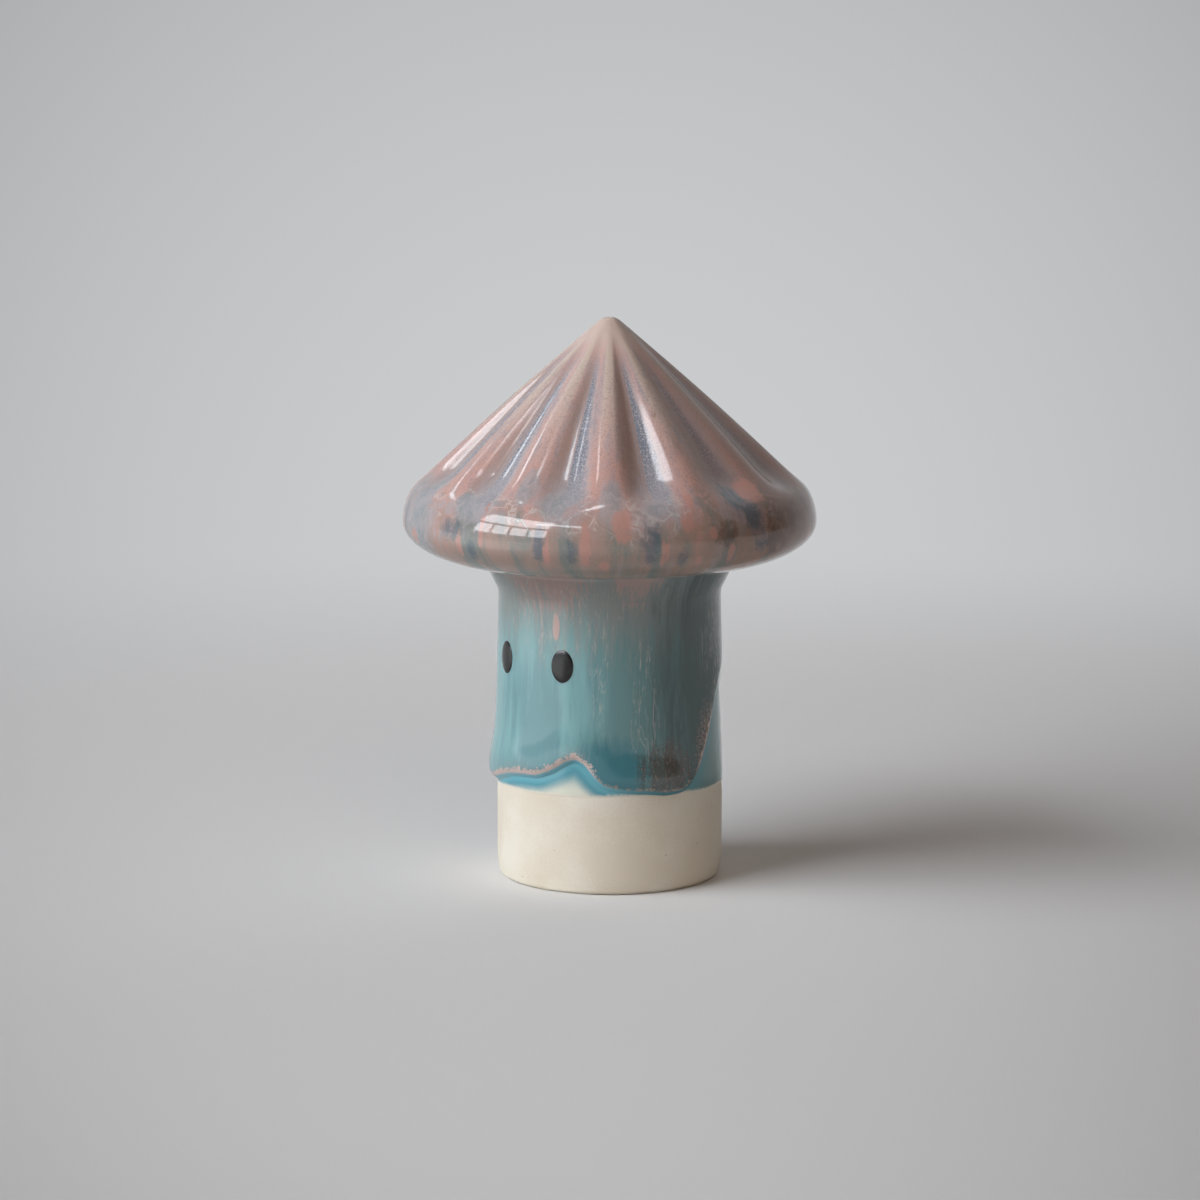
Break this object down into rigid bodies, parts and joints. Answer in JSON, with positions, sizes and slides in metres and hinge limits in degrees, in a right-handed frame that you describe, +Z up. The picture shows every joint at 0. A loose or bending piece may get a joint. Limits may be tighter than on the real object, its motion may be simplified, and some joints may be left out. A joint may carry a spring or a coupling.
{
  "type": "ceramic figurine",
  "caption": "Small hollow ceramic mushroom ornament: a fluted conical cap luted onto a cylindrical stem, with a running two-coat glaze, a bare clay foot and plain eye spots.",
  "frame": {"origin": "middle of the foot, on the surface that the figurine stands on", "axes": "+Z up along the axis of stem and cap, -Y the way the face looks, +X the figurine's own left"},
  "size_m": [0.0588, 0.0588, 0.08],
  "materials": {
    "bisque_clay": "bare fired clay, matt, finely specked",
    "slip": "fired slip, matt",
    "light_blue_glaze": "glossy",
    "rose_glaze": "glossy, mottled rose, blue and grey",
    "teal_glaze": "glossy, streaked",
    "dark_enamel": "satin gloss"
  },
  "bodies": {
    "root": {"stem_casting": "bisque_clay", "cap_casting": "bisque_clay", "luting_slip": "slip", "first_coat": "light_blue_glaze", "cap_glaze": "rose_glaze", "glaze_curtain": "teal_glaze", "left_eye": "dark_enamel", "right_eye": "dark_enamel"}
  },
  "joints": []
}
